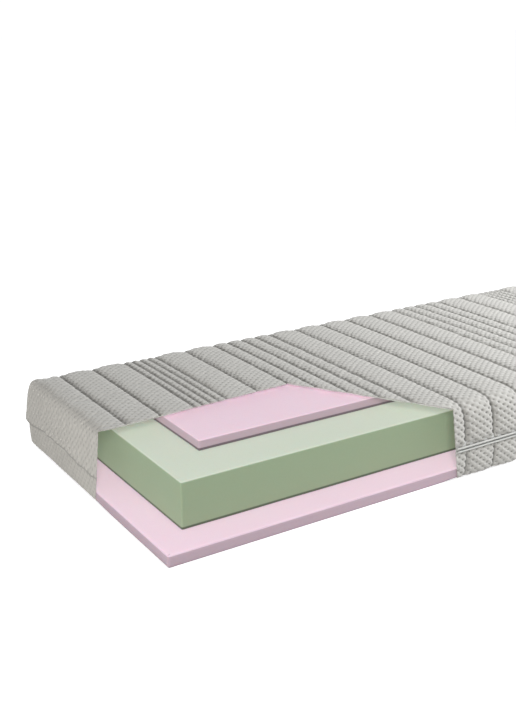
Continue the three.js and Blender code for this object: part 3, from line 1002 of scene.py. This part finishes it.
def add_foam(node, name, material, seed):
    """A foam slab: its cut edges softened and its faces a little uneven."""
    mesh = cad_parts[node].data.copy()
    mesh.name = name
    work = bmesh.new()
    work.from_mesh(mesh)
    bmesh.ops.remove_doubles(work, verts=work.verts, dist=1e-6)
    bmesh.ops.dissolve_limit(work, angle_limit=math.radians(2), verts=work.verts, edges=work.edges)
    low, high = (Vector(c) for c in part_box(node))
    for softness, lowest in ((4.5 * MM, low.z + 1 * MM), (1.5 * MM, -1)):
        sharp = [e for e in work.edges if e.is_manifold and e.calc_face_angle() > math.radians(40)
                 and max(v.co.z for v in e.verts) > lowest]
        bmesh.ops.bevel(work, geom=sharp, offset=softness, segments=3, profile=0.5, affect="EDGES")
    for axis, step in ((0, 45 * MM), (1, 45 * MM), (2, 10 * MM)):
        normal = Vector((axis == 0, axis == 1, axis == 2))
        for at in np.arange(low[axis] + step * 0.6, high[axis] - step * 0.3, step):
            bmesh.ops.bisect_plane(work, geom=work.verts[:] + work.edges[:] + work.faces[:],
                                   dist=1e-6, plane_co=normal * float(at), plane_no=normal)
    work.normal_update()
    for vertex in work.verts:
        where = vertex.co * 7 + Vector((seed, 0, 0))
        push = 0.35 * MM * noise.noise(where) + 0.2 * MM * noise.noise(where * 4)
        vertex.co = squeeze(vertex.co) + vertex.normal * push
    bmesh.ops.triangulate(work, faces=[f for f in work.faces if len(f.verts) > 4])
    work.to_mesh(mesh)
    work.free()
    shade_smooth(mesh)
    if node != "foam_base_slab":  # the base has no slab under it, so no painted shadow line
        set_point_values(mesh, "under", low.z + SHADOW_LINE_LEVEL - positions(mesh)[:, 2])
    slab = add_object(name, mesh, material, "foam_block")
    smooth = slab.modifiers.new("Normals", "WEIGHTED_NORMAL")
    smooth.keep_sharp = True
    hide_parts(node)
    return slab


# ---- Stage ----

def add_camera():
    """The photograph's viewing angle."""
    camera = place_in_scene("camera", bpy.data.cameras.new("camera"))
    camera.location = (-1.9141, -2.1892, 1.1721)
    heading, pitch = math.radians(57.4), math.radians(-18.94)
    camera.rotation_euler = (math.pi / 2 + pitch, 0, heading - math.pi / 2)
    camera.data.lens = 52.99
    camera.data.sensor_width = 36
    camera.data.clip_start = 0.05
    bpy.context.scene.camera = camera


def add_area_light(name, place, target, size, power, colour):
    data = bpy.data.lights.new(name, "AREA")
    data.shape = "RECTANGLE"
    data.size, data.size_y = size
    data.energy = power
    data.color = colour
    light = place_in_scene(name, data)
    light.visible_camera = False
    light.location = place
    light.rotation_euler = (Vector(target) - Vector(place)).to_track_quat("-Z", "Y").to_euler()
    return light.light_linking


def light_group(name, pieces, state):
    """A list of pieces that a light is kept off, or falls on alone, or is shaded by alone."""
    group = bpy.data.collections.new(name)
    for piece in pieces:
        group.objects.link(piece)
    for member in group.collection_objects:
        member.light_linking.link_state = state
    return group


def add_lights(foam, floor):
    """For the cover, a key light from the foot end and two low fills. For the foam, four lights,
    of which only the front one casts the cover's shadow, so that the shadow is faint."""
    all_but_foam = light_group("all_but_foam", foam, "EXCLUDE")
    only_foam = light_group("only_foam", foam, "INCLUDE")
    only_floor = light_group("only_floor", [floor], "INCLUDE")
    cool, warm, white = (0.965, 0.985, 1.0), (1.0, 0.985, 0.955), (1.0, 1.0, 1.0)
    for name, place, target, size, power, colour, lit, shading in (
        ("key", (2.6, -1.3, 2.2), (0.3, 0, 0.1), (1.5, 1.5), 178, cool, all_but_foam, None),
        ("end_fill", (-3.1, -1.2, 0.4), (-0.6, 0, 0.1), (1.4, 0.6), 42, warm, all_but_foam, None),
        ("back_fill", (0.0, 3.3, 0.5), (0.0, 0.4, 0.1), (2.4, 0.5), 34, white, all_but_foam, None),
        ("foam_front", (-2.15, -2.9, 2.0), (-0.5, -0.1, 0.1), (0.7, 0.7), 70, white, only_foam, None),
        ("foam_top", (1.6, 1.2, 2.4), (-0.4, -0.2, 0.1), (0.7, 0.7), 40, white, only_foam, only_floor),
        ("foam_side", (0.6, -1.6, 0.7), (-0.4, -0.4, 0.1), (0.5, 0.5), 11, white, only_foam, only_floor),
        ("foam_end", (-3.0, -0.2, 0.9), (-0.9, -0.2, 0.1), (0.7, 0.7), 27, white, only_foam, only_floor),
    ):
        linking = add_area_light(name, place, target, size, power, colour)
        linking.receiver_collection = lit
        if shading:
            linking.blocker_collection = shading


def add_world():
    """Even light from all round, which the camera sees brighter than it lights."""
    world = bpy.data.worlds.new("studio")
    world.use_nodes = True
    nodes, links = world.node_tree.nodes, world.node_tree.links
    background = nodes["Background"]
    path = nodes.new("ShaderNodeLightPath")
    strength = nodes.new("ShaderNodeMapRange")
    strength.inputs["To Min"].default_value = 0.33
    strength.inputs["To Max"].default_value = 1.05
    links.new(path.outputs["Is Camera Ray"], strength.inputs["Value"])
    links.new(strength.outputs["Result"], background.inputs["Strength"])
    background.inputs["Color"].default_value = (1, 1, 1, 1)
    bpy.context.scene.world = world


def add_floor():
    """A plain pale floor, which the camera sees brighter than it lights."""
    size, level = 30, -0.2 * MM
    mesh = bpy.data.meshes.new("floor")
    corners = [(-size, -size), (size, -size), (size, size), (-size, size)]
    mesh.from_pydata([(x, y, level) for x, y in corners], [], [(0, 1, 2, 3)])
    n = Nodes("studio_floor", 0.7, Emission_Color=(1, 1, 1, 1))
    seen = n.add("LightPath").outputs["Is Camera Ray"]
    n.feed(n.shader.inputs["Emission Strength"], n.math("MULTIPLY", seen, 0.8))
    speck = n.noise(n.place(), 4.0, 3.0)
    mesh.materials.append(n.finish(n.mix(speck, (0.60, 0.60, 0.60), (0.63, 0.63, 0.63))))
    floor = place_in_scene("floor", mesh)
    return floor


# ---- Assembly ----

def finish_cad_nodes():
    """Materials for the CAD nodes that stay: the glue films and the zip's metal parts."""
    for node, material in (("glue_film_lower", GLUE), ("glue_film_upper", GLUE),
                           ("zip_slider", ZIP_METAL), ("zip_pull_tab", ZIP_METAL),
                           ("zip_stop_upper", ZIP_METAL), ("zip_stop_lower", ZIP_METAL)):
        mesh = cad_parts[node].data
        mesh.materials.clear()
        mesh.materials.append(material)


def add_half(half, zip_half, body, planes, side, skirt, foam):
    """One half of the cover and of its zip."""
    knit, wadding, lining, thread = add_cover_half(half, body, planes)
    welt, tape, tape_length = add_zip_half(zip_half, side, body)


def build():
    scene = bpy.context.scene
    scene.view_settings.view_transform = "Standard"
    add_camera()
    add_world()
    floor = add_floor()
    foam = [
        add_foam("foam_base_slab", "foam_base", PINK_FOAM, 0.0),
        add_foam("foam_core_slab", "foam_core", GREEN_FOAM, 5.0),
        add_foam("foam_top_slab", "foam_top", PINK_FOAM, 9.0),
    ]
    add_lights(foam, floor)
    finish_cad_nodes()

    for half in HALVES:
        add_half(*half)
    label, label_size = add_label()


build()
